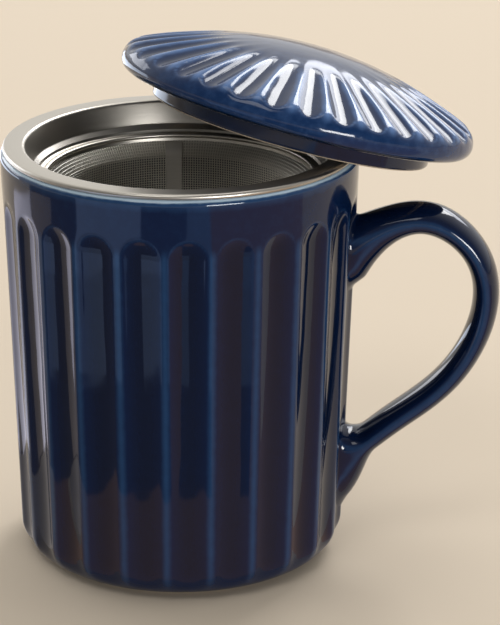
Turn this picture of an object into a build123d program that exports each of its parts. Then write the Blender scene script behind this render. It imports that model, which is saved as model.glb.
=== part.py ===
from build123d import *
from math import asin, atan2, cos, degrees, exp, pi, radians, sin, sqrt
import os

# Lidded tea mug with a lift-out steel infuser.
# Frame: millimetres, +Z up, origin on the mug's axis at its foot, handle towards +X.

# --- mug body: tapered, fluted stoneware cup ---
MUG_HEIGHT = 104.35
MUG_RIM_RADIUS = 44.0
MUG_BASE_RADIUS = 40.4          # where the wall's slope would meet the ground
MUG_WALL = 4.5
MUG_FLOOR = 6.5
MUG_RIM_ROUND = 1.6
MUG_INNER_RIM_ROUND = 1.2
MUG_CORNER_RADIUS = 8.0         # outside, between wall and foot
MUG_FLOOR_CORNER_RADIUS = 7.0   # inside, between wall and floor
FOOT_HEIGHT = 0.7               # the unglazed foot that stands below the glaze

# --- flutes round the mug ---
MUG_FLUTES = 24
MUG_FLUTE_DEPTH = 1.3
MUG_RIDGE_WIDTH = 2.2           # land left between two flutes under the rim
MUG_FLUTE_TOP_GAP = 10.9        # plain band between the rim and the tops of the flutes
MUG_FLUTE_TAPER = 0.97          # a flute's section narrows to this share of itself at its foot
MUG_FLUTE_RUN_OUT = 84.0        # degrees round the bottom corner to where its floor runs out
MUG_FLUTE_OVERRUN = 4.0         # degrees that its cutter goes on past that

# --- handle: elliptical section along a bowed line, flared at both roots ---
# Points of the centre line give the way out from the rim's radius, then a drop below the rim
# or a height above the ground.
HANDLE_UPPER_ROOT_DROP = 26.2
HANDLE_UPPER_ROOT_SPAN = 19.5
HANDLE_CROWN_OUT, HANDLE_CROWN_DROP = 16.6, 16.8
HANDLE_BOW_OUT, HANDLE_BOW_DROP = 29.4, 26.4
HANDLE_HEEL_OUT, HANDLE_HEEL_HEIGHT = 22.7, 46.1
HANDLE_THROAT_OUT, HANDLE_THROAT_HEIGHT = 7.1, 32.8
HANDLE_LOWER_ROOT_HEIGHT = 22.0
HANDLE_LOWER_ROOT_SPAN = 21.5
HANDLE_THICKNESS = 6.6
HANDLE_CROWN_SWELL = 1.0        # extra thickness over the crown
HANDLE_CROWN_SHARE = 0.2        # share of the line where the crown is thickest
HANDLE_CROWN_REACH = 0.1        # share of the line over which that dies away
HANDLE_WIDTH = 13.0
HANDLE_ROOT_WIDTH = 14.6
HANDLE_ROOT_DEPTH = 2.5         # the untrimmed handle runs this far into the wall
HANDLE_UPPER_FLARE = 7.0        # extra thickness where the upper flare meets the wall
HANDLE_UPPER_FLARE_SHARE = 0.21 # share of the line over which it dies away
HANDLE_STATIONS = (0.1, 0.17, 0.26, 0.36, 0.46, 0.57, 0.68, 0.79, 0.9)  # shares of the line

# --- infuser: pressed collar, beaded band, wire-cloth basket ---
SHEET = 0.5                     # steel sheet of the pressed rings
SEAT_GAP = 0.15                 # rolled edge above the ceramic rim
FLANGE_INSET = 0.7              # the flange's edge stands this far in from the mug's rim
FLANGE_LIP = 1.0                # height of the rolled outer edge
FLANGE_BEND = 0.6
COLLAR_FIT = 1.0                # clearance to the mug's inner wall
COLLAR_TAPER = 3.0              # the collar narrows by this much
COLLAR_DEPTH = 6.9
MOUTH_BEND = 1.2                # between the flange and the collar's tapered wall
NECK_BEND = 0.6
LEDGE_WIDTH = 1.9               # from the collar's neck in to the bead
LEDGE_DROP = 0.9
BEAD_SECTION = 0.6
BAND_TAPER = 2.9                # the band narrows by this much below the bead
BAND_DROP = 2.3                 # from the bead down to the top of the wire cloth
BAND_SKIRT = 2.5                # the band's straight part, outside the wire cloth
BAND_BEND = 0.8
CLOTH = 0.4
INFUSER_HEIGHT = 72.0
SEAM_WIDTH = 4.0
SEAM_THICKNESS = 0.3
SEAM_BEARING = 98.0             # degrees from +X about +Z
BOTTOM_BAND_HEIGHT = 5.0
BOTTOM_BAND_LIP = 2.4

FLANGE_RADIUS = MUG_RIM_RADIUS - FLANGE_INSET
COLLAR_MOUTH_RADIUS = MUG_RIM_RADIUS - MUG_WALL - COLLAR_FIT - SHEET
COLLAR_NECK_RADIUS = COLLAR_MOUTH_RADIUS - COLLAR_TAPER
BEAD_RADIUS = COLLAR_NECK_RADIUS - LEDGE_WIDTH
SLEEVE_RADIUS = BEAD_RADIUS - BAND_TAPER    # outside of the wire cloth

# --- lid: fluted dome, flat underside, locating ring ---
LID_OVERHANG = 1.0              # the lid stands out this far over the mug's rim
LID_RING_HEIGHT = 4.5
LID_RING_FIT = 2.6              # clearance to the collar's mouth
LID_RING_WALL = 2.4
LID_RING_ROUND = 0.9
LID_RIM_ROUND = 3.0             # from the underside out to the lid's widest line
LID_DOME_HEIGHT = 13.8          # above the widest line
LID_SHOULDER_RADIUS = 5.0       # between the widest line and the crown
LID_FLUTES = 32
LID_FLUTE_SECTION = 4.7         # radius of a flute's round section at its outer end
LID_FLUTE_TAPER = 0.95          # it narrows to this share of that where the flute fades in
LID_FLUTE_OVERRUN = 0.4         # the cutter runs past both ends by this share of the flute
LID_FLUTE_EDGE = 0.65           # a flute's floor runs out on the shoulder this far in
LID_FLUTE_REACH = 21.35         # from there in to where it fades into the crown
LID_FLUTE_PHASE = 7.0           # degrees of the first flute from the way the lid leans

LID_RADIUS = MUG_RIM_RADIUS + LID_OVERHANG
LID_RING_RADIUS = COLLAR_MOUTH_RADIUS - LID_RING_FIT
LID_FLUTE_END = LID_RADIUS - LID_FLUTE_EDGE
LID_FLUTE_START = LID_FLUTE_END - LID_FLUTE_REACH

# --- how the lid leans on the flange ---
LEAN_INSET = 12.9               # the lid's centre is this far inside the flange's edge
LEAN_BEARING = 31.1             # degrees from +X towards +Y
LEAN_GAP = 0.2                  # how far the lid stands over its contacts, where edges are sharp
LEAN_GUESS = 15.0               # degrees from which the lean angle is worked out
LEAN_ROUNDS = 40

LEAN_OFFSET = FLANGE_RADIUS - LEAN_INSET    # the lid's centre from the mug's axis

# --- drawing ---
OVAL_POINTS = 12                # points that draw one elliptical section


def wall_radius(height):
    """Radius of the mug's plain outer wall at a height."""
    slope = (MUG_RIM_RADIUS - MUG_BASE_RADIUS) / MUG_HEIGHT
    return MUG_BASE_RADIUS + slope * height


def wall_lean():
    """Angle of the mug's wall from the vertical, in radians."""
    return atan2(MUG_RIM_RADIUS - MUG_BASE_RADIUS, MUG_HEIGHT)


def corner_centre():
    """Centre (r, z) of the round bottom corner, tangent to wall and foot top."""
    height = FOOT_HEIGHT + MUG_CORNER_RADIUS
    return wall_radius(height) - MUG_CORNER_RADIUS / cos(wall_lean()), height


def ring(profile):
    """Solid of revolution about the Z axis from a closed (r, z) line drawn in the XZ plane."""
    return revolve(Plane.XZ * make_face(profile), Axis.Z)


def tube(inner, outer, foot, top, turn=360.0):
    """A tube, or a stretch of one that starts at +X, about the mug's axis."""
    outline = Polyline((inner, foot), (outer, foot), (outer, top), (inner, top), close=True)
    return revolve(Plane.XZ * make_face(outline), Axis.Z, turn)


def mug_outside():
    """The mug's outer form, filled, without flutes."""
    lean = wall_lean()
    corner_r, corner_z = corner_centre()
    tangent = (corner_r + MUG_CORNER_RADIUS * cos(lean), corner_z - MUG_CORNER_RADIUS * sin(lean))
    middle = radians(-45) - lean / 2
    bend = (corner_r + MUG_CORNER_RADIUS * cos(middle), corner_z + MUG_CORNER_RADIUS * sin(middle))
    foot = (corner_r, FOOT_HEIGHT)
    shoulder = (wall_radius(MUG_HEIGHT - MUG_RIM_ROUND), MUG_HEIGHT - MUG_RIM_ROUND)
    crown = (shoulder[0] - MUG_RIM_ROUND, MUG_HEIGHT)
    quarter = MUG_RIM_ROUND * (1 - cos(pi / 4))
    outline = [
        Polyline((0, 0), (corner_r, 0), foot),
        ThreePointArc(foot, bend, tangent),
        Line(tangent, shoulder),
        ThreePointArc(shoulder, (shoulder[0] - quarter, MUG_HEIGHT - quarter), crown),
        Polyline(crown, (0, MUG_HEIGHT), (0, 0)),
    ]
    return ring(outline)


def mug_inside():
    """The space inside the mug, with a round floor corner and a softened inner rim."""
    top = wall_radius(MUG_HEIGHT) - MUG_WALL
    bottom = wall_radius(MUG_FLOOR) - MUG_WALL
    soft = MUG_INNER_RIM_ROUND
    outline = FilletPolyline(
        (0, MUG_FLOOR),
        (bottom, MUG_FLOOR),
        (top, MUG_HEIGHT - soft),
        (top + soft, MUG_HEIGHT + soft),
        radius=[MUG_FLOOR_CORNER_RADIUS, soft],
    )
    closing = Polyline((top + soft, MUG_HEIGHT + soft), (0, MUG_HEIGHT + soft), (0, MUG_FLOOR))
    return ring([outline, closing])


def flute_half_width(radius):
    """Half a flute's width where the wall has this radius."""
    return (2 * pi * radius / MUG_FLUTES - MUG_RIDGE_WIDTH) / 2


def flute_depth(radius, section):
    """Depth that leaves the ridges their width where the wall has this radius."""
    half_width = flute_half_width(radius)
    return section - sqrt(section**2 - half_width**2) + half_width**2 / (2 * radius)


def flute_section():
    """Radius of a flute's round section, from its depth and width under the rim."""
    half_width = flute_half_width(MUG_RIM_RADIUS)
    sag = MUG_FLUTE_DEPTH - half_width**2 / (2 * MUG_RIM_RADIUS)
    return (half_width**2 + sag**2) / (2 * sag)


def flute_bend(section):
    """Radius and turn of the arc that a flute's floor follows round the bottom corner.

    The first value is how far the floor lies from the corner's centre where the arc starts.
    """
    corner_z = corner_centre()[1]
    floor = MUG_CORNER_RADIUS - flute_depth(wall_radius(corner_z), section)
    run_out = radians(MUG_FLUTE_RUN_OUT)
    inward = floor - MUG_CORNER_RADIUS * cos(run_out)
    down = MUG_CORNER_RADIUS * sin(run_out)
    radius = (inward**2 + down**2) / (2 * inward)
    return floor, radius, degrees(asin(down / radius)) + MUG_FLUTE_OVERRUN


def round_ended_rod(foot_radius, top_radius, length):
    """A slightly tapered rod along +Z with a ball-shaped top."""
    side = top_radius * cos(pi / 4)
    half = [
        Polyline((0, length + top_radius), (0, 0), (foot_radius, 0), (top_radius, length)),
        ThreePointArc((top_radius, length), (side, length + side), (0, length + top_radius)),
    ]
    return ring(half)


def mug_flute():
    """One flute's cutter at +X: a round-ended rod that bends in and runs out near the foot."""
    outward = Vector(cos(wall_lean()), 0, -sin(wall_lean()))
    corner_r, corner_z = corner_centre()
    section = flute_section()
    lower = section * MUG_FLUTE_TAPER
    top_height = MUG_HEIGHT - MUG_FLUTE_TOP_GAP - flute_half_width(MUG_RIM_RADIUS)
    top_radius = wall_radius(top_height)
    top_depth = flute_depth(top_radius, section)
    top = Vector(top_radius, 0, top_height) + outward * (section - top_depth)
    floor, bend_radius, turn = flute_bend(lower)
    hub = Vector(corner_r, 0, corner_z) + outward * (floor - bend_radius)
    bottom = hub + outward * (bend_radius + lower)
    along = top - bottom
    rod = Plane(bottom, x_dir=outward, z_dir=along) * round_ended_rod(lower, section, along.length)
    slice_plane = Plane(bottom, x_dir=(0, 1, 0), z_dir=along)
    bend = revolve(slice_plane * Circle(lower), Axis(hub, (0, 1, 0)), turn)
    return rod + bend


def fluted_mug():
    """The mug's outer form, filled, with all its flutes."""
    pitch = 360 / MUG_FLUTES
    cutter = mug_flute()
    return mug_outside() - [Rot(0, 0, pitch * (index + 0.5)) * cutter for index in range(MUG_FLUTES)]


def handle_line():
    """Centre line of the handle in the XZ plane, from the upper root to the lower one."""
    upper = MUG_HEIGHT - HANDLE_UPPER_ROOT_DROP
    rim = MUG_RIM_RADIUS
    return Spline(
        (wall_radius(upper) - HANDLE_ROOT_DEPTH, 0, upper),
        (rim + HANDLE_CROWN_OUT, 0, MUG_HEIGHT - HANDLE_CROWN_DROP),
        (rim + HANDLE_BOW_OUT, 0, MUG_HEIGHT - HANDLE_BOW_DROP),
        (rim + HANDLE_HEEL_OUT, 0, HANDLE_HEEL_HEIGHT),
        (rim + HANDLE_THROAT_OUT, 0, HANDLE_THROAT_HEIGHT),
        (wall_radius(HANDLE_LOWER_ROOT_HEIGHT) - HANDLE_ROOT_DEPTH, 0, HANDLE_LOWER_ROOT_HEIGHT),
    )


def oval(width, height):
    """An elliptical face, drawn as one closed curve that starts on its width."""
    turns = [2 * pi * step / OVAL_POINTS for step in range(OVAL_POINTS)]
    points = [(width / 2 * cos(turn), height / 2 * sin(turn)) for turn in turns]
    return make_face(Spline(*points, periodic=True))


def handle_section(line, share):
    """The handle's elliptical section at a share of its centre line."""
    flare = HANDLE_UPPER_FLARE * max(0.0, 1 - share / HANDLE_UPPER_FLARE_SHARE) ** 2
    swell = HANDLE_CROWN_SWELL * exp(-(((share - HANDLE_CROWN_SHARE) / HANDLE_CROWN_REACH) ** 2))
    thickness = HANDLE_THICKNESS + flare + swell
    place = Plane(line @ share, x_dir=(0, 1, 0), z_dir=line % share)
    return place * oval(HANDLE_WIDTH, thickness)


def handle(fluted):
    """The handle, trimmed where it meets the fluted wall."""
    line = handle_line()
    upper = Plane(line @ 0, x_dir=(0, 1, 0), z_dir=(1, 0, 0))
    lower = Plane(line @ 1, x_dir=(0, 1, 0), z_dir=(-1, 0, 0))
    sections = [upper * oval(HANDLE_ROOT_WIDTH, HANDLE_UPPER_ROOT_SPAN)]
    sections += [handle_section(line, share) for share in HANDLE_STATIONS]
    sections.append(lower * oval(HANDLE_ROOT_WIDTH, HANDLE_LOWER_ROOT_SPAN))
    return loft(sections) - fluted


def sheet_ring(points, bends, side=Side.LEFT):
    """A ring pressed from sheet: its shown face follows the (r, z) points, rounded by the bends."""
    face_line = FilletPolyline(*points, radius=bends)
    return ring(offset(face_line, amount=SHEET, side=side))


def flange_top():
    """Height of the infuser's flange."""
    return MUG_HEIGHT + SEAT_GAP + FLANGE_LIP


def infuser_collar():
    """Rolled outer edge, flat flange, tapered wall and inward ledge."""
    top = flange_top()
    foot = top - COLLAR_DEPTH
    ledge = foot - LEDGE_DROP
    points = [
        (FLANGE_RADIUS, top - FLANGE_LIP),
        (FLANGE_RADIUS, top),
        (COLLAR_MOUTH_RADIUS, top),
        (COLLAR_NECK_RADIUS, foot),
        (BEAD_RADIUS + BEAD_SECTION, ledge),
    ]
    return sheet_ring(points, [FLANGE_BEND, MOUTH_BEND, NECK_BEND])


def infuser_top_band():
    """Rolled bead, sloping band and the straight part outside the wire cloth."""
    bead_height = cloth_top() + BAND_DROP
    points = [
        (BEAD_RADIUS, bead_height),
        (SLEEVE_RADIUS, cloth_top()),
        (SLEEVE_RADIUS, cloth_top() - BAND_SKIRT),
    ]
    band = sheet_ring(points, [BAND_BEND])
    bead = revolve(Plane.XZ * Pos(BEAD_RADIUS, bead_height) * Circle(BEAD_SECTION), Axis.Z)
    return band + bead


def cloth_top():
    """Height of the wire cloth's upper edge."""
    return flange_top() - COLLAR_DEPTH - LEDGE_DROP - SHEET / 2 - BAND_DROP


def cloth_foot():
    """Height of the upper face of the basket's base."""
    return flange_top() - INFUSER_HEIGHT + SHEET + CLOTH


def infuser_mesh_sleeve():
    """Rolled wire cloth."""
    inner = SLEEVE_RADIUS - CLOTH
    return tube(inner, SLEEVE_RADIUS, cloth_foot(), cloth_top())


def infuser_seam_strip():
    """Plain strip welded over the sleeve's seam, on the inside."""
    outer = SLEEVE_RADIUS - CLOTH
    turn = degrees(SEAM_WIDTH / outer)
    strip = tube(outer - SEAM_THICKNESS, outer, cloth_foot(), cloth_top(), turn)
    return Rot(0, 0, SEAM_BEARING - turn / 2) * strip


def infuser_bottom_band():
    """Ring round the basket's lower edge, turned in under the base."""
    foot = flange_top() - INFUSER_HEIGHT
    outer = SLEEVE_RADIUS + SHEET
    upright = tube(SLEEVE_RADIUS, outer, foot, foot + BOTTOM_BAND_HEIGHT)
    return upright + tube(SLEEVE_RADIUS - BOTTOM_BAND_LIP, outer, foot, foot + SHEET)


def infuser_base_mesh():
    """Disc of wire cloth that lies on the bottom band's lip."""
    return Pos(0, 0, cloth_foot() - CLOTH / 2) * Cylinder(SLEEVE_RADIUS - CLOTH, CLOTH)


def dome_height(distance):
    """Height of the lid's plain dome over the ring's foot, at a distance from the lid's axis."""
    widest = LID_RING_HEIGHT + LID_RIM_ROUND
    crown = crown_radius()
    hub = LID_RADIUS - LID_SHOULDER_RADIUS
    tangent = hub * crown / (crown - LID_SHOULDER_RADIUS)
    if distance > tangent:
        return widest + sqrt(LID_SHOULDER_RADIUS**2 - (distance - hub) ** 2)
    return widest + LID_DOME_HEIGHT - crown + sqrt(crown**2 - distance**2)


def crown_radius():
    """Radius of the sphere that runs tangent into the lid's shoulder."""
    hub = LID_RADIUS - LID_SHOULDER_RADIUS
    rise = LID_DOME_HEIGHT
    return (hub**2 + rise**2 - LID_SHOULDER_RADIUS**2) / (2 * (rise - LID_SHOULDER_RADIUS))


def lid_form():
    """The lid without flutes, upright, with its ring's foot at height zero."""
    widest = LID_RING_HEIGHT + LID_RIM_ROUND
    hub = LID_RADIUS - LID_SHOULDER_RADIUS
    tangent = hub * crown_radius() / (crown_radius() - LID_SHOULDER_RADIUS)
    top = dome_height(0)
    inner = LID_RING_RADIUS - LID_RING_WALL
    underside = LID_RADIUS - LID_RIM_ROUND
    bend = LID_RIM_ROUND * (1 - cos(pi / 4))
    swing = (hub + LID_RADIUS) / 2
    locating_ring = FilletPolyline(
        (inner, LID_RING_HEIGHT),
        (inner, 0),
        (LID_RING_RADIUS, 0),
        (LID_RING_RADIUS, LID_RING_HEIGHT),
        radius=LID_RING_ROUND,
    )
    outline = [
        Line((0, LID_RING_HEIGHT), (inner, LID_RING_HEIGHT)),
        locating_ring,
        Line((LID_RING_RADIUS, LID_RING_HEIGHT), (underside, LID_RING_HEIGHT)),
        ThreePointArc(
            (underside, LID_RING_HEIGHT),
            (LID_RADIUS - bend, LID_RING_HEIGHT + bend),
            (LID_RADIUS, widest),
        ),
        ThreePointArc(
            (LID_RADIUS, widest),
            (hub + LID_SHOULDER_RADIUS * cos(pi / 6), widest + LID_SHOULDER_RADIUS * sin(pi / 6)),
            (tangent, dome_height(tangent)),
        ),
        ThreePointArc((tangent, dome_height(tangent)), (swing / 2, dome_height(swing / 2)), (0, top)),
        Line((0, top), (0, LID_RING_HEIGHT)),
    ]
    return ring(outline)


def lid_flute():
    """One flute's cutter: a tapered rod whose lowest line joins the flute's two ends."""
    start = Vector(LID_FLUTE_START, 0, dome_height(LID_FLUTE_START))
    end = Vector(LID_FLUTE_END, 0, dome_height(LID_FLUTE_END))
    run = end - start
    lift = Vector(-run.Z, 0, run.X).normalized()
    narrow = LID_FLUTE_SECTION * LID_FLUTE_TAPER
    inner = start + lift * narrow
    axis = end + lift * LID_FLUTE_SECTION - inner
    growth = (LID_FLUTE_SECTION - narrow) * LID_FLUTE_OVERRUN
    length = axis.length * (1 + 2 * LID_FLUTE_OVERRUN)
    foot = Plane(inner - axis * LID_FLUTE_OVERRUN, z_dir=axis)
    return Solid.make_cone(narrow - growth, LID_FLUTE_SECTION + growth, length, foot)


def lean():
    """Lean angle and centre height of the lid at rest.

    The foot of its ring lies across the flange's edge at two points, and its flat underside
    lies on the far side of the same edge.
    """
    contact = LID_RING_RADIUS - LID_RING_WALL + LID_RING_ROUND / 2
    angle = radians(LEAN_GUESS)
    for _ in range(LEAN_ROUNDS):
        a = sin(angle) ** 2
        b = LEAN_OFFSET * cos(angle)
        c = LEAN_OFFSET**2 + contact**2 - FLANGE_RADIUS**2
        along = (b - sqrt(b * b + a * c)) / a
        angle = asin(LID_RING_HEIGHT / (FLANGE_RADIUS - LEAN_OFFSET - along * cos(angle)))
    return angle, flange_top() + along * sin(angle)


def lid():
    """The fluted lid, leaning on the flange."""
    pitch = 360 / LID_FLUTES
    cutter = lid_flute()
    turns = [LID_FLUTE_PHASE + pitch * index for index in range(LID_FLUTES)]
    upright = lid_form() - [Rot(0, 0, turn) * cutter for turn in turns]
    angle, height = lean()
    bearing = radians(LEAN_BEARING)
    ahead = Vector(cos(bearing), sin(bearing), 0)
    place = Plane(
        origin=ahead * LEAN_OFFSET + Vector(0, 0, height + LEAN_GAP),
        x_dir=ahead * cos(angle) - Vector(0, 0, sin(angle)),
        z_dir=ahead * sin(angle) + Vector(0, 0, cos(angle)),
    )
    return place * upright


FLUTED = fluted_mug()
PIECES = {
    "mug_body": FLUTED - mug_inside(),
    "handle": handle(FLUTED),
    "infuser_collar": infuser_collar(),
    "infuser_top_band": infuser_top_band(),
    "infuser_mesh_sleeve": infuser_mesh_sleeve(),
    "infuser_seam_strip": infuser_seam_strip(),
    "infuser_bottom_band": infuser_bottom_band(),
    "infuser_base_mesh": infuser_base_mesh(),
    "lid": lid(),
}

if __name__ == "__main__":
    os.makedirs("parts", exist_ok=True)
    for node, piece in PIECES.items():
        export_step(piece, f"parts/{node}.step")
        print(node, round(piece.volume, 1), piece.bounding_box())
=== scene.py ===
import logging
import math
from dataclasses import dataclass
from enum import Enum
from functools import cached_property
from typing import Dict, List, Optional, Sequence, Tuple, Union

import bmesh
import bpy
import numpy as np
from bmesh.types import BMEdge, BMesh, BMFace, BMLayerItem, BMVert
from mathutils import Matrix, Quaternion, Vector


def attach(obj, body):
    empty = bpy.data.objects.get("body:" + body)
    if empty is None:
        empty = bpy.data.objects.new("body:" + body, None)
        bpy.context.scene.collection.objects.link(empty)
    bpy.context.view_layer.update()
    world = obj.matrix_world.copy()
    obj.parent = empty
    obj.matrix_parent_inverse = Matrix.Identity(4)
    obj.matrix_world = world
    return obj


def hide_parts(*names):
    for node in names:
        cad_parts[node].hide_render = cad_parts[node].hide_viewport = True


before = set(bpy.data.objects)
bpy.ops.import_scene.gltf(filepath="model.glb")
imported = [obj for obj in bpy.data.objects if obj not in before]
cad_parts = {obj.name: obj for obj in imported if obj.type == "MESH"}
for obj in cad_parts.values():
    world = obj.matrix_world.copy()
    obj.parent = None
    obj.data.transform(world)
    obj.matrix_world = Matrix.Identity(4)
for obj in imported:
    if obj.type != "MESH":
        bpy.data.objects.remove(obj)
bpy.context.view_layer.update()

# Looks of a lidded tea mug with a lift-out infuser. Shapes are worked out in millimetres in the
# part's own frame, +Z up, origin on the mug's axis at its foot, and turned to metres at the end.

LOG = logging.getLogger("tea_mug")
MM = 0.001
# The vertex attribute holds the glaze's thickness, and in places painted shade (the handle, the
# lid's ring and underside) and painted highlight (the lips of the mug's flute arches).
GLAZE = "glaze_thickness"       # vertex attribute that the glaze's colours follow; its values are
POOLED, PLAIN, THIN, BREAKING = 0.08, 0.45, 0.76, 0.98
NOISE_SPAN = {"From Min": 0.3, "From Max": 0.7}     # where most of a noise's values lie
SHARP_ANGLE = 50.0              # degrees past which an edge is shown sharp
NEAR = 1e-4                     # mm between points that are taken as one
ON_AXIS = 1e-3                  # mm from the axis within which a point counts as on it
SLACK = 0.01                    # mm by which a height has to pass a limit
ROUNDS = 40                     # steps of a search, more than a float needs

Pair = Tuple[float, float]
Point = Pair
Outline = List[Point]
Material = bpy.types.Material
Setting = Union[str, int]
Element = Union[BMVert, BMEdge, BMFace]


class Body(Enum):
    """The bodies that a piece can ride on."""

    MUG = "mug"
    INFUSER = "infuser"
    LID = "lid"


class Slot(Enum):
    """The record's material slots."""

    MUG_GLAZE = "mug_glaze"
    LID_GLAZE = "lid_glaze"
    STEEL = "pressed_steel"
    CLOTH = "wire_cloth"


# --- small helpers ---------------------------------------------------------------------------


def linear(colour: str) -> Tuple[float, float, float, float]:
    """Turn an sRGB hex colour to linear light.

    Args:
        colour: six hex digits, with or without a leading #.

    Returns:
        Red, green, blue and an alpha of 1.
    """
    digits = colour.lstrip("#")
    parts = [int(digits[place:place + 2], 16) / 255 for place in (0, 2, 4)]
    red, green, blue = (
        part / 12.92 if part <= 0.04045 else ((part + 0.055) / 1.055) ** 2.4 for part in parts
    )
    return red, green, blue, 1.0


def smooth_step(low: float, high: float, value: float) -> float:
    """Rise smoothly from 0 at low to 1 at high."""
    share = min(1.0, max(0.0, (value - low) / (high - low)))
    return share * share * (3 - 2 * share)


def peak(offset: float, width: float) -> float:
    """Bell curve, 1 at no offset and nearly 0 two widths away."""
    return math.exp(-((offset / width) ** 2))


def from_nearest(angle: float, pitch: float) -> float:
    """Signed angle from the nearest whole number of pitches."""
    return (angle + pitch / 2) % pitch - pitch / 2


def rounded_off(sharp: float, softness: float) -> float:
    """Depth of a sharp-edged cut once the glaze has rounded its edges."""
    return (sharp + math.hypot(sharp, softness)) / 2


def direction(bearing: float, elevation: float) -> Vector:
    """Unit vector away from the mug.

    Args:
        bearing: degrees about +Z, 0 in front of the mug, 90 to its right.
        elevation: degrees over the ground.

    Returns:
        The vector.
    """
    turn, rise = math.radians(bearing), math.radians(elevation)
    flat = math.cos(rise)
    return Vector((math.sin(turn) * flat, -math.cos(turn) * flat, math.sin(rise)))


def add_node(
    tree: bpy.types.NodeTree,
    kind: str,
    settings: Optional[Dict[Setting, object]] = None,
    links: Optional[Dict[Setting, bpy.types.NodeSocket]] = None,
) -> bpy.types.Node:
    """Add one node with its settings and links.

    Args:
        tree: node tree that gets the node.
        kind: the node's type name.
        settings: values for inputs, by name or number, or for properties of the node.
        links: sockets that feed its inputs, by name or number.

    Returns:
        The new node.
    """
    node = tree.nodes.new(kind)
    for name, value in (settings or {}).items():
        if isinstance(name, int) or name in node.inputs:
            node.inputs[name].default_value = value
        else:
            setattr(node, name, value)
    for name, source in (links or {}).items():
        tree.links.new(source, node.inputs[name])
    return node


def new_material(name: str, settings: Dict[str, object]) -> Tuple[Material, bpy.types.Node]:
    """Start a material on its standard shader.

    Args:
        name: the material's name.
        settings: constant values of the shader's inputs.

    Returns:
        The material and the shader.
    """
    material = bpy.data.materials.new(name)
    material.use_nodes = True
    shader = material.node_tree.nodes["Principled BSDF"]
    for socket, value in settings.items():
        shader.inputs[socket].default_value = value
    return material, shader


def new_mesh(shape: BMesh, name: str) -> bpy.types.Mesh:
    """Turn a mesh in millimetres to one in metres.

    Args:
        shape: the finished shape, which is freed.
        name: name of the mesh.

    Returns:
        The mesh.
    """
    mesh = bpy.data.meshes.new(name)
    shape.to_mesh(mesh)
    shape.free()
    mesh.transform(Matrix.Scale(MM, 4))
    return mesh


def new_object(name: str, data: bpy.types.ID) -> bpy.types.Object:
    """Put an object into the scene.

    Args:
        name: its name.
        data: its mesh, lamp or camera.

    Returns:
        The object.
    """
    made = bpy.data.objects.new(name, data)
    bpy.context.scene.collection.objects.link(made)
    return made


def arc(centre: Point, radius: float, start: float, end: float, steps: int) -> Outline:
    """Points along an arc in the (r, z) plane.

    Args:
        centre: centre of the arc.
        radius: its radius.
        start: first angle in degrees from +r towards +z.
        end: last angle in degrees.
        steps: number of equal steps between them.

    Returns:
        The points, both ends included.
    """
    turns = [math.radians(start + (end - start) * step / steps) for step in range(steps + 1)]
    r, z = centre
    return [(r + radius * math.cos(turn), z + radius * math.sin(turn)) for turn in turns]


def run(start: Point, end: Point, steps: int) -> Outline:
    """Points along a straight run, without its first point."""
    shares = [step / steps for step in range(1, steps + 1)]
    return [tuple(a + (b - a) * share for a, b in zip(start, end)) for share in shares]


def rounded(points: Sequence[Point], radii: Sequence[float], steps: int = 6) -> Outline:
    """Round the inner corners of a polyline.

    Args:
        points: the polyline's corners.
        radii: one radius for each inner corner.
        steps: steps in each arc.

    Returns:
        The rounded polyline.
    """
    made: Outline = [points[0]]
    for before, corner, after, radius in zip(points, points[1:], points[2:], radii):
        here = Vector(corner)
        back = (Vector(before) - here).normalized()
        ahead = (Vector(after) - here).normalized()
        half = back.angle(ahead) / 2
        reach = radius / math.tan(half)
        hub = here + (back + ahead).normalized() * (radius / math.sin(half))
        first = here + back * reach - hub
        last = here + ahead * reach - hub
        turn = first.angle(last)
        side = 1.0 if first.x * last.y - first.y * last.x > 0 else -1.0
        begin = math.atan2(first.y, first.x)
        for step in range(steps + 1):
            angle = begin + side * turn * step / steps
            made.append((hub.x + radius * math.cos(angle), hub.y + radius * math.sin(angle)))
    made.append(points[-1])
    return made


def sheet_outline(shown: Sequence[Point], thickness: float) -> Outline:
    """Give a line the thickness of a sheet on its left side.

    Args:
        shown: the sheet's shown face.
        thickness: the sheet's thickness.

    Returns:
        A closed outline.
    """
    back: Outline = []
    for index, (r, z) in enumerate(shown):
        before = Vector(shown[max(index - 1, 0)])
        after = Vector(shown[min(index + 1, len(shown) - 1)])
        way = (after - before).normalized()
        back.append((r - way.y * thickness, z + way.x * thickness))
    return list(shown) + back[::-1]


def draw(shape: BMesh, outline: Sequence[Point], closed: bool) -> List[Element]:
    """Draw an outline in the (r, z) plane, at +X.

    Args:
        shape: mesh that gets the outline.
        outline: its points.
        closed: joins the last point to the first.

    Returns:
        Its vertices and then its edges.
    """
    verts = [shape.verts.new((r, 0, z)) for r, z in outline]
    ends = verts[1:] + verts[:1] if closed else verts[1:]
    return verts + [shape.edges.new(pair) for pair in zip(verts, ends)]


def spin(
    shape: BMesh, geom: Sequence[Element], steps: int, angle: float = math.tau, copies: bool = False
) -> None:
    """Turn a part of a mesh about the Z axis, and close a full turn on itself.

    Args:
        shape: mesh that the part belongs to.
        geom: the part.
        steps: number of steps in the turn.
        angle: radians of the turn.
        copies: repeats the part at each step and leaves no faces between.
    """
    bmesh.ops.spin(
        shape,
        geom=geom,
        cent=(0, 0, 0),
        axis=(0, 0, 1),
        angle=angle,
        steps=steps,
        use_merge=angle == math.tau,
        use_duplicate=copies,
    )


def spin_outline(shape: BMesh, outline: Sequence[Point], steps: int, closed: bool) -> None:
    """Turn an outline in the (r, z) plane once round the Z axis.

    Args:
        shape: mesh that gets the new faces.
        outline: the points to turn.
        steps: number of steps in the full turn.
        closed: joins the last point to the first.
    """
    spin(shape, draw(shape, outline, closed), steps)
    bmesh.ops.remove_doubles(shape, verts=shape.verts, dist=NEAR)
    bmesh.ops.dissolve_degenerate(shape, edges=shape.edges, dist=NEAR / 10)


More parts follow.
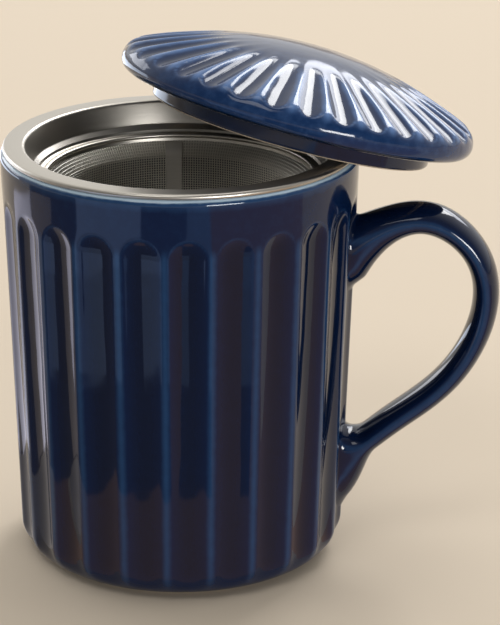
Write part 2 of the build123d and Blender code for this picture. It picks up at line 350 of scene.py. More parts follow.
def bare_below(shape: BMesh, height: float) -> None:
    """Give the second material to the faces that lie wholly under a height."""
    for face in shape.faces:
        face.material_index = int(max(vert.co.z for vert in face.verts) < height)


def finish_piece(
    shape: BMesh,
    name: str,
    body: Body,
    nodes: Sequence[str],
    materials: Sequence[Material],
) -> None:
    """Turn a mesh in millimetres to a shown piece in metres.

    Args:
        shape: the finished mesh, which is freed.
        name: name of the piece.
        body: body that it rides on.
        nodes: CAD nodes that it stands for.
        materials: its materials, in the order of the faces' indices.
    """
    bmesh.ops.recalc_face_normals(shape, faces=shape.faces)
    mesh = new_mesh(shape, name)
    mesh.polygons.foreach_set("use_smooth", [True] * len(mesh.polygons))
    mesh.set_sharp_from_angle(angle=math.radians(SHARP_ANGLE))
    for material in materials:
        mesh.materials.append(material)
    piece = new_object(name, mesh)
    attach(piece, body.value)
    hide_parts(*nodes)
    LOG.info("%s: %d faces on %s", name, len(mesh.polygons), body.value)


# --- finishes --------------------------------------------------------------------------------


@dataclass(frozen=True)
class NavyGlaze:
    """Cobalt glaze over stoneware, dipped and fired glossy.

    It pools dark in the flutes, thins to blue on the ridges and breaks pale on sharp edges. The
    melt leaves it mirror-smooth, with a slow waviness that bends its reflections a little.
    """

    name: str
    pooled: str = "#071024"
    plain: str = "#061736"
    thin: str = "#1b385c"
    breaking: str = "#9fb4c4"
    roughness: float = 0.065
    roughness_span: Pair = (0.8, 1.4)   # least and most of it, by cloud of colour
    ior: float = 1.42
    wave_length: float = 11.0       # mm between swells of the melt
    wave_height: float = 0.18       # mm, for the whole range of the noise
    mottle_length: float = 2.4      # mm across a cloud of colour
    mottle: float = 0.03            # how far a cloud shifts the glaze's value either way

    def build(self) -> Material:
        """Make the material.

        Returns:
            The material.
        """
        material, shader = new_material(self.name, {"IOR": self.ior})
        tree = material.node_tree
        place = add_node(tree, "ShaderNodeTexCoord").outputs["Object"]
        # The attribute gives the glaze's thickness, with painted shade and painted highlight in
        # places.
        thickness = add_node(tree, "ShaderNodeAttribute", {"attribute_name": GLAZE}).outputs["Fac"]
        cloud = add_node(
            tree,
            "ShaderNodeTexNoise",
            {"Scale": 1 / (self.mottle_length * MM), "Detail": 4.0, "Roughness": 0.6},
            {"Vector": place},
        ).outputs["Fac"]
        shift = add_node(
            tree,
            "ShaderNodeMapRange",
            {**NOISE_SPAN, "To Min": -self.mottle, "To Max": self.mottle},
            {"Value": cloud},
        ).outputs["Result"]
        depth = add_node(tree, "ShaderNodeMath", {"operation": "ADD"}, {0: thickness, 1: shift})
        ramp = add_node(tree, "ShaderNodeValToRGB", None, {"Fac": depth.outputs[0]})
        stops = ramp.color_ramp.elements
        stops[0].position, stops[0].color = POOLED, linear(self.pooled)
        stops[1].position, stops[1].color = BREAKING, linear(self.breaking)
        for position, colour in ((PLAIN, self.plain), (THIN, self.thin)):
            stops.new(position).color = linear(colour)
        tree.links.new(ramp.outputs["Color"], shader.inputs["Base Color"])
        least, most = (self.roughness * share for share in self.roughness_span)
        gloss = add_node(
            tree, "ShaderNodeMapRange", {"To Min": least, "To Max": most}, {"Value": cloud}
        )
        tree.links.new(gloss.outputs["Result"], shader.inputs["Roughness"])
        swell = add_node(
            tree,
            "ShaderNodeTexNoise",
            {"Scale": 1 / (self.wave_length * MM), "Detail": 1.0},
            {"Vector": place},
        ).outputs["Fac"]
        bump = add_node(
            tree, "ShaderNodeBump", {"Distance": self.wave_height * MM}, {"Height": swell}
        )
        tree.links.new(bump.outputs["Normal"], shader.inputs["Normal"])
        return material


@dataclass(frozen=True)
class BareStoneware:
    """Fired clay where the glaze was wiped off the foot: matt, warm grey and finely grained."""

    name: str = "unglazed_stoneware"
    clay: str = "#b8aa97"
    grain: str = "#8d8071"
    grain_size: float = 0.5         # mm, coarser than the real grog so that it shows
    grain_height: float = 0.05      # mm
    grain_span: Pair = (0.35, 0.7)  # noise values from clear clay to full grain
    roughness: float = 0.85

    def build(self) -> Material:
        """Make the material.

        Returns:
            The material.
        """
        material, shader = new_material(self.name, {"Roughness": self.roughness})
        tree = material.node_tree
        place = add_node(tree, "ShaderNodeTexCoord").outputs["Object"]
        grit = add_node(
            tree,
            "ShaderNodeTexNoise",
            {"Scale": 1 / (self.grain_size * MM), "Detail": 3.0},
            {"Vector": place},
        ).outputs["Fac"]
        clear, full = self.grain_span
        spread = add_node(
            tree, "ShaderNodeMapRange", {"From Min": clear, "From Max": full}, {"Value": grit}
        ).outputs["Result"]
        mix = add_node(
            tree,
            "ShaderNodeMix",
            {"data_type": "RGBA", 6: linear(self.clay), 7: linear(self.grain)},
            {0: spread},
        )
        tree.links.new(mix.outputs[2], shader.inputs["Base Color"])
        bump = add_node(
            tree, "ShaderNodeBump", {"Distance": self.grain_height * MM}, {"Height": grit}
        )
        tree.links.new(bump.outputs["Normal"], shader.inputs["Normal"])
        return material


@dataclass(frozen=True)
class SatinSteel:
    """Stainless steel, pressed and then satin-brushed on a turning spindle.

    Fine rings run round the axis, so highlights stretch across them.
    """

    name: str
    colour: str = "#b8b3aa"
    roughness_low: float = 0.3
    roughness_high: float = 0.35
    ring_pitch: float = 0.35        # mm, coarser than real brushing so that it shows
    ring_height: float = 0.002      # mm, for the whole range of the noise

    def build(self) -> Material:
        """Make the material.

        Returns:
            The material.
        """
        material, shader = new_material(
            self.name, {"Base Color": linear(self.colour), "Metallic": 1.0}
        )
        tree = material.node_tree
        place = add_node(tree, "ShaderNodeTexCoord").outputs["Object"]
        flat = add_node(
            tree, "ShaderNodeVectorMath", {"operation": "MULTIPLY", 1: (1.0, 1.0, 0.0)}, {0: place}
        ).outputs[0]
        radius = add_node(tree, "ShaderNodeVectorMath", {"operation": "LENGTH"}, {0: flat})
        height = add_node(tree, "ShaderNodeSeparateXYZ", None, {0: place}).outputs["Z"]
        across = add_node(
            tree, "ShaderNodeMath", {"operation": "SUBTRACT"}, {0: radius.outputs[1], 1: height}
        )
        rings = add_node(
            tree,
            "ShaderNodeTexNoise",
            {"noise_dimensions": "1D", "Scale": 1 / (self.ring_pitch * MM), "Detail": 3.0},
            {"W": across.outputs[0]},
        ).outputs["Fac"]
        spread = add_node(
            tree,
            "ShaderNodeMapRange",
            {**NOISE_SPAN, "To Min": self.roughness_low, "To Max": self.roughness_high},
            {"Value": rings},
        )
        tree.links.new(spread.outputs["Result"], shader.inputs["Roughness"])
        bump = add_node(
            tree, "ShaderNodeBump", {"Distance": self.ring_height * MM}, {"Height": rings}
        )
        tree.links.new(bump.outputs["Normal"], shader.inputs["Normal"])
        return material


@dataclass(frozen=True)
class WireSteel:
    """Drawn stainless wire, woven and annealed.

    It is rougher than the pressed rings, and its colour is brighter than their steel as painted
    light inside the basket, so the fine cloth reads as an even pale grey with slightly darker
    patches.
    """

    name: str = "woven_stainless_wire"
    # brighter than the steel really is: painted light inside the basket
    colour: str = "#ebe7dd"
    dark_share: float = 0.75        # brightness of the darker patches
    roughness: float = 0.5
    tint_length: float = 6.0        # mm between darker and lighter patches

    def build(self) -> Material:
        """Make the material.

        Returns:
            The material.
        """
        material, shader = new_material(self.name, {"Metallic": 1.0, "Roughness": self.roughness})
        tree = material.node_tree
        place = add_node(tree, "ShaderNodeTexCoord").outputs["Object"]
        patch = add_node(
            tree, "ShaderNodeTexNoise", {"Scale": 1 / (self.tint_length * MM)}, {"Vector": place}
        ).outputs["Fac"]
        light = linear(self.colour)
        dark = (*(channel * self.dark_share for channel in light[:3]), 1.0)
        mix = add_node(tree, "ShaderNodeMix", {"data_type": "RGBA", 6: dark, 7: light}, {0: patch})
        tree.links.new(mix.outputs[2], shader.inputs["Base Color"])
        return material


@dataclass(frozen=True)
class PaleTop:
    """The plain pale surface that the mug stands on: board in a dead-matt chalk paint.

    It has no gloss, so it shows neither the lamps nor the cards.
    """

    name: str = "painted_board"
    colour: str = "#d6c8b5"
    roughness: float = 0.8

    def build(self) -> Material:
        """Make the material."""
        settings = {"Base Color": linear(self.colour), "Roughness": self.roughness}
        return new_material(self.name, {**settings, "Specular IOR Level": 0.0})[0]


# --- mug -------------------------------------------------------------------------------------


@dataclass
class MugBody:
    """Tapered cup with round-topped flutes, a plain band under the rim and a bare foot."""

    height: float = 104.35
    rim_radius: float = 44.0
    base_radius: float = 40.4       # where the wall's slope would meet the ground
    wall: float = 4.5
    floor: float = 6.5
    corner: float = 8.0
    floor_corner: float = 7.0
    rim_round: float = 1.6
    inner_rim_round: float = 1.2
    foot_height: float = 0.7
    foot_reach: float = 0.4         # of the flat foot past the bottom corner's centre
    foot_edge: float = 0.1          # radius of its soft edge
    foot_line: float = 0.05         # the clay is bare this far over the foot's height
    flutes: int = 24
    flute_depth: float = 1.3
    ridge_width: float = 2.2
    flute_top_gap: float = 10.9
    flute_margin: float = 2.0       # the glaze's roundings reach this far over the flutes' tops
    flute_fade: float = 6.0         # degrees round the bottom corner where a flute starts to fade
    flute_run_out: float = 46.0     # and where it ends
    edge_softness: float = 0.24     # how far the glaze rounds the ridges
    steps_per_flute: int = 20
    ridge_crowding: float = 0.55    # share by which the steps crowd towards the ridges
    inside_glaze: float = 0.5       # glaze value of the inside
    pooling: float = 0.33           # how far the value falls in a flute
    ridge_glaze: float = 0.72       # value on the ridges and on the lips of the flutes' arches
    ridge_line: float = 0.85        # mm of the ridge that show it
    lip_line: float = 0.2           # mm of the lip's depth that show it
    lip_share: float = 0.4          # of the ridges' lighter value that a lip gets, partly glaze thinning and partly painted highlight
    rim_glaze: float = 0.74         # value round the rim
    crest_rise: float = 0.26        # how much it rises on the rim's crest
    foot_fade: Pair = (1.5, 9.0)    # mm up from the ground over which pools and ridges fade in
    arch_fade: Pair = (0.5, 4.0)    # mm over the arches' centres, where ridges turn into lips
    rim_fade: Pair = (-2.1, -1.2)   # mm to the rim's crest, over which the glaze thins
    crest_fade: Pair = (-0.8, -0.5) # and breaks

    def radius(self, height: float) -> float:
        """Radius of the plain wall at a height."""
        return self.base_radius + (self.rim_radius - self.base_radius) * height / self.height

    @property
    def lean(self) -> float:
        """Angle of the wall from the vertical, in radians."""
        return math.atan2(self.rim_radius - self.base_radius, self.height)

    @property
    def corner_centre(self) -> Point:
        """Centre of the bottom corner's arc."""
        height = self.foot_height + self.corner
        return self.radius(height) - self.corner / math.cos(self.lean), height

    def half_width(self, radius: float) -> float:
        """Half a flute's width where the wall has this radius."""
        return (math.tau * radius / self.flutes - self.ridge_width) / 2

    @property
    def section(self) -> float:
        """Radius of a flute's round section, from its width and depth at the rim.

        Returns:
            The radius.
        """
        half = self.half_width(self.rim_radius)
        sag = self.flute_depth - half**2 / (2 * self.rim_radius)
        return (half**2 + sag**2) / (2 * sag)

    @property
    def arch_centre(self) -> float:
        """Height of the centres of the flutes' round tops."""
        return self.arch_top - self.half_width(self.rim_radius)

    @property
    def arch_top(self) -> float:
        """Height at which the flutes end under the rim."""
        return self.height - self.flute_top_gap

    def cut(self, height: float, angle: float) -> float:
        """Depth of the flutes' sharp-edged cut under the plain wall, below zero off the flutes.

        Args:
            height: height on the wall.
            angle: radians about the axis from +X.

        Returns:
            The depth.
        """
        pitch = math.tau / self.flutes
        off = (angle % pitch) - pitch / 2
        level = min(height, self.arch_centre)
        wall = self.radius(level)
        half = self.half_width(wall)
        depth = self.section - math.sqrt(self.section**2 - half**2) + half**2 / (2 * wall)
        hub = wall + self.section - depth
        rise = max(0.0, height - self.arch_centre)
        under = self.section**2 - rise**2 - (hub * math.sin(off)) ** 2
        if under <= 0:
            return -self.flute_depth
        return self.radius(height) - (hub * math.cos(off) - math.sqrt(under))

    def depth(self, height: float, angle: float) -> float:
        """Depth of the flutes with their edges rounded by the glaze."""
        level = max(height, self.corner_centre[1])
        return rounded_off(self.cut(level, angle), self.edge_softness)

    def surface_radius(self, height: float, angle: float) -> float:
        """Radius of the fluted wall above the bottom corner."""
        return self.radius(height) - self.depth(height, angle)

    def outside_rows(self) -> Outline:
        """Outline from the middle of the foot up to the rim's crest.

        Returns:
            Its points, closest together where the flutes' arches end.
        """
        centre = self.corner_centre
        edge = self.foot_edge
        start = math.degrees(-self.lean)
        low = self.height - self.rim_round
        rows: Outline = [(0, 0), (centre[0] / 2, 0)]
        rows += arc((centre[0] + self.foot_reach - edge, edge), edge, -90, 0, 3)
        rows += arc(centre, self.corner, -90, start, 18)
        for end, count in ((self.arch_centre - 1.0, 14), (self.arch_top + 1.5, 26), (low, 5)):
            rows += run(rows[-1], (self.radius(end), end), count)
        rim = (self.radius(low) - self.rim_round, low)
        return rows + arc(rim, self.rim_round, 0, 90, 8)[1:]

    def inside_rows(self) -> Outline:
        """Outline from the rim's crest down to the middle of the floor.

        Returns:
            Its points.
        """
        top = self.radius(self.height) - self.wall
        bottom = self.radius(self.floor) - self.wall
        soft = self.inner_rim_round
        rows = arc((top + soft, self.height - soft), soft, 90, 180, 5)
        corner = rounded(
            [rows[-1], (bottom, self.floor), (0, self.floor)], [self.floor_corner], steps=8
        )
        rows += run(rows[-1], corner[1], 8)
        return rows + corner[2:-1] + [(bottom / 2, self.floor), (0, self.floor)]

    def glaze(self, height: float, angle: float) -> float:
        """Thickness value of the glaze on the outside.

        It pools in the flutes and thins on the ridges and round the rim; on the arches' lips its
        lighter value is partly glaze thinning, partly painted highlight.

        Args:
            height: height on the wall.
            angle: radians about the axis from +X.

        Returns:
            The value.
        """
        cut = self.cut(max(height, self.corner_centre[1]), angle)
        off_ridge = self.radius(height) * abs(from_nearest(angle, math.tau / self.flutes))
        fades = (
            (0.0, self.foot_fade), (self.arch_centre, self.arch_fade),
            (self.height, self.rim_fade), (self.height, self.crest_fade),
        )
        foot, arch, rim, crest = (
            smooth_step(level + low, level + high, height) for level, (low, high) in fades
        )
        pool = min(1.0, max(0.0, cut / self.flute_depth)) * foot
        ridge = peak(off_ridge, self.ridge_line) * (1 - arch) * foot
        # partly glaze thinning, partly painted highlight on the lips
        lip = peak(cut, self.lip_line) * self.lip_share * arch
        value = PLAIN - self.pooling * pool
        value += (self.ridge_glaze - value) * max(ridge, lip)
        value += (self.rim_glaze - value) * rim
        return value + self.crest_rise * crest

    def place_vertex(self, vert: BMVert, layer: BMLayerItem) -> None:
        """Crowd a vertex towards the ridges, sink it into its flute and set its glaze.

        Args:
            vert: vertex of the plain cup.
            layer: the glaze's values.
        """
        radius, height = math.hypot(vert.co.x, vert.co.y), vert.co.z
        if radius < ON_AXIS:
            vert[layer] = PLAIN
            return
        angle = math.atan2(vert.co.y, vert.co.x)
        angle -= self.ridge_crowding * math.sin(self.flutes * angle) / self.flutes
        centre = self.corner_centre
        way = Vector((radius - centre[0], height - centre[1]))
        low = height < centre[1]
        outside = radius > self.radius(height) - self.wall / 2
        if low and radius > centre[0]:
            outside = outside or way.length > self.corner - self.wall / 2
        vert[layer] = self.inside_glaze
        if outside and height > self.foot_height + SLACK:
            vert[layer] = self.glaze(height, angle)
            sink = self.depth(height, angle)
            if low:
                turned = math.degrees(math.atan2(-way.y, way.x) - self.lean)
                sink *= 1 - smooth_step(self.flute_fade, self.flute_run_out, turned)
                way.normalize()
            else:
                way = Vector((math.cos(self.lean), -math.sin(self.lean)))
            if height < self.arch_top + self.flute_margin:
                radius -= way.x * sink
                height -= way.y * sink
        vert.co = (radius * math.cos(angle), radius * math.sin(angle), height)

    def build(self, glaze: Material, bare: Material) -> None:
        """Make the cup.

        Args:
            glaze: finish of all but the foot.
            bare: finish of the foot.
        """
        shape = bmesh.new()
        layer = shape.verts.layers.float.new(GLAZE)
        outline = self.outside_rows() + self.inside_rows()[1:]
        spin_outline(shape, outline, self.flutes * self.steps_per_flute, closed=False)
        for vert in shape.verts:
            self.place_vertex(vert, layer)
        bare_below(shape, self.foot_height + self.foot_line)
        finish_piece(shape, "mug_cup", Body.MUG, ["mug_body"], [glaze, bare])


@dataclass
class Handle:
    """Pulled handle: an oval strap along a bowed line, flared and luted at both ends."""

    cup: MugBody
    line: Tuple[Point, ...] = (
        (41.0, 78.7), (60.6, 87.6), (73.4, 78.0), (66.7, 46.1), (51.1, 32.8), (39.4, 25.9),
    )
    start_heading: float = 38.2     # degrees from +X towards +Z
    end_heading: float = -175.0
    thickness: float = 6.55
    width: float = 13.0
    root_width: float = 14.6
    root_shares: Pair = (0.12, 0.1) # of the line over which it widens at either end
    upper_flare: float = 9.58
    upper_flare_share: float = 0.21
    lower_flare: float = 22.8
    lower_flare_share: float = 0.09
    crown_swell: float = 1.03
    crown_place: Pair = (0.2, 0.1)  # share of the line at the swell's middle, and its width
    upper_search: Pair = (0.3, -0.12)   # shares outside and inside the wall at the upper end
    lower_search: Pair = (0.75, 1.12)
    fillet: float = 1.7             # length of the luted fillet along the strap
    fillet_spread: float = 1.2      # and along the wall
    fillet_sunk: float = 0.12       # its edge lies this far inside the wall
    around: int = 56
    along: int = 96
    fillet_rows: int = 6
    side_glaze: float = 0.25        # glaze value of the strap, darker than the cup's plain glaze as painted shade
    edge_rise: float = 0.4          # how much it rises along its two edges
    edge_line: float = 0.06         # share of the half width over which it does

    def spline(self, share: float) -> Tuple[Vector, Vector]:
        """Point and heading of the centre line, run on straight past both ends.

        Args:
            share: share of the line from its upper end.

        Returns:
            The point and the unit heading, as (x, z).
        """
        points, slopes, stops = self.solved
        at = share * stops[-1]
        if at <= 0 or at >= stops[-1]:
            end = 0 if at <= 0 else -1
            heading = Vector(slopes[end]).normalized()
            return Vector(points[end]) + heading * (at - stops[end]), heading
        index = int(np.searchsorted(stops, at)) - 1
        span = stops[index + 1] - stops[index]
        u = (at - stops[index]) / span
        first, second = points[index], points[index + 1]
        leave, arrive = slopes[index] * span, slopes[index + 1] * span
        place = (
            first * (2 * u**3 - 3 * u**2 + 1)
            + leave * (u**3 - 2 * u**2 + u)
            + second * (3 * u**2 - 2 * u**3)
            + arrive * (u**3 - u**2)
        )
        way = (
            first * (6 * u**2 - 6 * u)
            + leave * (3 * u**2 - 4 * u + 1)
            + second * (6 * u - 6 * u**2)
            + arrive * (3 * u**2 - 2 * u)
        )
        return Vector(place), Vector(way).normalized()

    @cached_property
    def solved(self) -> Tuple[np.ndarray, np.ndarray, np.ndarray]:
        """The smooth line: its points, its slopes there and the lengths up to them.

        Returns:
            The three arrays.
        """
        points = np.array(self.line, float)
        spans = np.hypot(*np.diff(points, axis=0).T)
        count = len(points)
        matrix = np.eye(count)
        right = np.zeros((count, 2))
        for end, heading in ((0, self.start_heading), (count - 1, self.end_heading)):
            right[end] = (math.cos(math.radians(heading)), math.sin(math.radians(heading)))
        for index in range(1, count - 1):
            before, after = spans[index - 1], spans[index]
            matrix[index, index - 1:index + 2] = (1 / before, 2 / before + 2 / after, 1 / after)
            right[index] = 3 * (
                (points[index] - points[index - 1]) / before**2
                + (points[index + 1] - points[index]) / after**2
            )
        return points, np.linalg.solve(matrix, right), np.r_[0, np.cumsum(spans)]

    @property
    def fillet_share(self) -> float:
        """Share of the line that a fillet takes."""
        return self.fillet / self.solved[2][-1]

    def turn(self, index: int) -> float:
        """Radians round the section of one line of the strap."""
        return math.tau * index / self.around

    def strap_point(self, share: float, turn: float) -> Vector:
        """Point on the strap's untrimmed surface.

        Args:
            share: share of the centre line.
            turn: radians round the section, from its outer side towards +Y.

        Returns:
            The point.
        """
        centre, heading = self.spline(share)
        upper = self.upper_flare * max(0.0, 1 - max(share, 0.0) / self.upper_flare_share) ** 2
        lower = self.lower_flare * max(0.0, 1 - (1 - min(share, 1.0)) / self.lower_flare_share) ** 2
        middle, spread = self.crown_place
        swell = self.crown_swell * peak(share - middle, spread)
        half = (self.thickness + upper + lower + swell) / 2
        first, last = self.root_shares
        near_root = max(1 - share / first, 1 - (1 - share) / last, 0.0)
        side = (self.width + (self.root_width - self.width) * min(1.0, near_root) ** 2) / 2
        out = half * math.cos(turn)
        return Vector(
            (centre.x - heading.y * out, side * math.sin(turn), centre.y + heading.x * out)
        )

    def wall_point(self, y: float, z: float, sunk: float) -> Vector:
        """Point on the fluted wall at +X for a place seen from the side.

        Args:
            y: place across.
            z: height.
            sunk: how far under the surface.

        Returns:
            The point.
        """
        radius = self.cup.surface_radius(z, 0.0)
        for _ in range(3):
            radius = self.cup.surface_radius(z, math.asin(y / radius)) - sunk
        return Vector((math.sqrt(radius**2 - y**2), y, z))

    def meeting_share(self, turn: float, search: Pair) -> float:
        """Share at which a line of the strap meets the wall.

        Args:
            turn: the line's place round the section.
            search: a share outside the wall and one inside it.

        Returns:
            The share.
        """
        outer, inner = search
        for _ in range(ROUNDS):
            middle = (outer + inner) / 2
            point = self.strap_point(middle, turn)
            angle = math.atan2(point.y, point.x)
            clear = math.hypot(point.x, point.y) - self.cup.surface_radius(point.z, angle)
            outer, inner = (middle, inner) if clear > 0 else (outer, middle)
        return outer

    def end_rows(self, meetings: Sequence[float], inward: float) -> List[List[Vector]]:
        """Rows of the fillet that lays the strap's end on the wall.

        Args:
            meetings: the share at which each line meets the wall.
            inward: sign of the way along the line from the strap to the wall.

        Returns:
            The rows, from the strap to the wall.
        """
        hits = [self.strap_point(share, self.turn(index)) for index, share in enumerate(meetings)]
        centre = sum((hit.yz for hit in hits), Vector((0, 0))) / self.around
        rows: List[List[Vector]] = [[] for _ in range(self.fillet_rows + 1)]
        for index, (share, hit) in enumerate(zip(meetings, hits)):
            tangent = hits[(index + 1) % self.around] - hits[index - 1]
            spread = Vector((tangent.z, -tangent.y)).normalized() * self.fillet_spread
            if spread.dot(hit.yz - centre) < 0:
                spread = -spread
            begin = self.strap_point(share - inward * self.fillet_share, self.turn(index))
            for row in range(self.fillet_rows + 1):
                u = row / self.fillet_rows
                sunk = self.fillet_sunk * smooth_step(0.6, 1.0, u)
                finish = self.wall_point(hit.y + spread.x, hit.z + spread.y, sunk)
                rows[row].append(begin * (1 - u) ** 2 + hit * 2 * u * (1 - u) + finish * u**2)
        return rows

    def rows(self) -> List[List[Vector]]:
        """Rows of points round the handle, fillets included.

        Returns:
            The rows, from its upper end to its lower end.
        """
        turns = [self.turn(index) for index in range(self.around)]
        upper = [self.meeting_share(turn, self.upper_search) for turn in turns]
        lower = [self.meeting_share(turn, self.lower_search) for turn in turns]
        margin = self.fillet_share
        rows = self.end_rows(upper, -1.0)[::-1]
        for step in range(1, self.along):
            part = step / self.along
            rows.append([
                self.strap_point((first + margin) * (1 - part) + (last - margin) * part, turn)
                for turn, first, last in zip(turns, upper, lower)
            ])
        return rows + self.end_rows(lower, 1.0)

    def build(self, glaze: Material) -> None:
        """Make the handle, row after row.

        Args:
            glaze: its finish.
        """
        shape = bmesh.new()
        layer = shape.verts.layers.float.new(GLAZE)
        circle = bmesh.ops.create_circle(shape, segments=self.around, radius=1.0, cap_ends=False)
        ring = circle["verts"]
        for index, row in enumerate(self.rows()):
            if index:
                edges = [shape.edges.get(pair) for pair in zip(ring, ring[1:] + ring[:1])]
                made = bmesh.ops.extrude_edge_only(shape, edges=edges)["geom"]
                ring = self.in_order(made, ring)
            for vert, place in zip(ring, row):
                vert.co = place
                # The strap's darker value is painted shade; its two edges get a lighter value.
                off_edge = abs(place.y) / self.width * 2 - 1
                vert[layer] = self.side_glaze + self.edge_rise * peak(off_edge, self.edge_line)
        finish_piece(shape, "mug_handle", Body.MUG, ["handle"], [glaze])

    @staticmethod
    def in_order(made: Sequence[Element], ring: Sequence[BMVert]) -> List[BMVert]:
        """Newly extruded vertices in the order of the ring that they came from."""
        fresh = {vert for vert in made if isinstance(vert, BMVert)}
        return [
            next(end for edge in vert.link_edges for end in edge.verts if end in fresh)
            for vert in ring
        ]


# --- infuser ---------------------------------------------------------------------------------


@dataclass
class Infuser:
    """Pressed flange and collar over a basket of wire cloth."""

    cup: MugBody
    sheet: float = 0.5
    seat_gap: float = 0.15
    flange_inset: float = 0.7
    flange_lip: float = 1.0         # height of the flange over the rim's crest, less the seat gap
    curl: float = 0.78              # radius of the flange's rolled edge
    curl_start: float = -32.0       # degrees at which the rolled edge begins
    collar_fit: float = 1.0
    collar_taper: float = 3.0
    collar_depth: float = 6.9
    steep_run: float = 1.8          # the wall drops steeply over this much of its taper,
    steep_end: float = 1.1          # down to this height over its lower edge
    ledge_width: float = 1.9
    ledge_drop: float = 0.9
    ledge_bend: Pair = (0.3, 0.68)  # in and down from the wall to where the ledge flattens
    ledge_rise: float = 0.1         # of the ledge's inner edge over its drop
    collar_bends: Tuple[float, ...] = (1.0, 0.9, 0.35, 0.3)     # radii, from the mouth down
    bead_section: float = 0.6
    band_inset: float = 0.35        # of the band's upright part under the bead's centre line
    band_taper: float = 2.9
    band_drop: float = 2.3
    band_skirt: float = 2.5
    band_bends: Pair = (0.3, 0.2)   # radii at the slope's upper and lower end
    band_neck: float = 1.0          # the band's upright part ends this far over the cloth's height
    flare_end: float = 1.9          # and its slope this far under it
    cloth: float = 0.4
    height: float = 72.0
    wire: float = 0.26
    wire_pitch: float = 0.63
    seam_width: float = 4.0
    seam_thickness: float = 0.3
    seam_bearing: float = 98.0
    bottom_band_height: float = 5.0
    bottom_band_lip: float = 2.4
    bottom_band_bend: float = 0.6
    steps: int = 192
    cloth_steps: int = 120
    seam_steps: int = 8

    @property
    def top(self) -> float:
        """Height of the flange."""
        return self.cup.height + self.seat_gap + self.flange_lip

    @property
    def mouth(self) -> float:
        """Radius of the collar's mouth."""
        return self.cup.rim_radius - self.cup.wall - self.collar_fit - self.sheet

    @property
    def bead_radius(self) -> float:
        """Radius of the bead's centre line."""
        return self.mouth - self.collar_taper - self.ledge_width

    @property
    def sleeve_radius(self) -> float:
        """Outside radius of the wire cloth."""
        return self.bead_radius - self.band_taper

    @property
    def cloth_top(self) -> float:
        """Height of the wire cloth's upper edge."""
        return self.top - self.collar_depth - self.ledge_drop - self.sheet / 2 - self.band_drop

    @property
    def flare(self) -> Outline:
        """Lower and upper end of the band's slope, on which the flared top of the cloth lies."""
        return [
            (self.sleeve_radius, self.cloth_top - self.flare_end),
            (self.bead_radius - self.band_inset, self.cloth_top + self.band_neck),
        ]

    @property
    def cloth_foot(self) -> float:
        """Height at which the sleeve of cloth stands on the base."""
        return self.foot + self.sheet + self.cloth

    @property
    def foot(self) -> float:
        """Height of the basket's underside."""
        return self.top - self.height

    def ring(self, outlines: Sequence[Outline]) -> BMesh:
        """Spin closed outlines to one pressed ring.

        Args:
            outlines: the (r, z) outlines.

        Returns:
            The ring.
        """
        shape = bmesh.new()
        for outline in outlines:
            spin_outline(shape, outline, self.steps, closed=True)
        return shape

    def collar(self) -> BMesh:
        """Rolled edge, flat flange, tapered wall and ledge.

        Returns:
            The pressed ring.
        """
        edge = self.cup.rim_radius - self.flange_inset
        neck = self.mouth - self.collar_taper
        low = self.top - self.collar_depth
        inward, down = self.ledge_bend
        hub = (edge - self.curl, self.top - self.curl)
        rolled = arc(hub, self.curl, self.curl_start, 90, 14)
        corners = [
            rolled[-1],
            (self.mouth, self.top),
            (self.mouth - self.steep_run, low + self.steep_end),
            (neck, low),
            (neck - inward, low - down),
            (self.bead_radius + self.bead_section, low - self.ledge_drop + self.ledge_rise),
        ]
        inner = rounded(corners, self.collar_bends, steps=10)
        return self.ring([sheet_outline(rolled[:-1] + inner, self.sheet)])

    def top_band(self) -> BMesh:
        """Rolled bead over a sloping band, with a skirt outside the cloth.

        Returns:
            The pressed ring.
        """
        hub = (self.bead_radius, self.cloth_top + self.band_drop)
        skirt = (self.sleeve_radius, self.cloth_top - self.band_skirt)
        shown = rounded([hub, *self.flare[::-1], skirt], self.band_bends, steps=5)
        bead = arc(hub, self.bead_section, 0, 360, 16)[:-1]
        return self.ring([sheet_outline(shown, self.sheet), bead])

    def bottom_band(self) -> BMesh:
        """Ring round the basket's lower edge, turned in under the base.

        Returns:
            The pressed ring.
        """
        outer = self.sleeve_radius + self.sheet
        lip = (self.sleeve_radius - self.bottom_band_lip, self.foot)
        shown = rounded(
            [(outer, self.foot + self.bottom_band_height), (outer, self.foot), lip],
            [self.bottom_band_bend],
        )
        return self.ring([sheet_outline(shown[::-1], self.sheet)])

    def seam(self) -> BMesh:
        """Plain strip welded inside over the sleeve's seam, flared with it.

        Returns:
            The strip.
        """
        outer = self.sleeve_radius - self.cloth
        inner = outer - self.seam_thickness
        low = self.cloth_foot
        turn = self.seam_width / outer
        (bend_radius, bend), (top_radius, top) = self.flare
        lean = top_radius - bend_radius
        corners = (
            (inner, low), (outer, low), (outer, bend), (outer + lean, top), (inner + lean, top),
            (inner, bend),
        )
        shape = bmesh.new()
        verts = [shape.verts.new((r, 0, z)) for r, z in corners]
        face = shape.faces.new(verts)
        start = Matrix.Rotation(math.radians(self.seam_bearing) - turn / 2, 4, "Z")
        bmesh.ops.transform(shape, matrix=start, verts=verts)
        spin(shape, [face], self.seam_steps, turn)
        bmesh.ops.remove_doubles(shape, verts=shape.verts, dist=NEAR)
        return shape

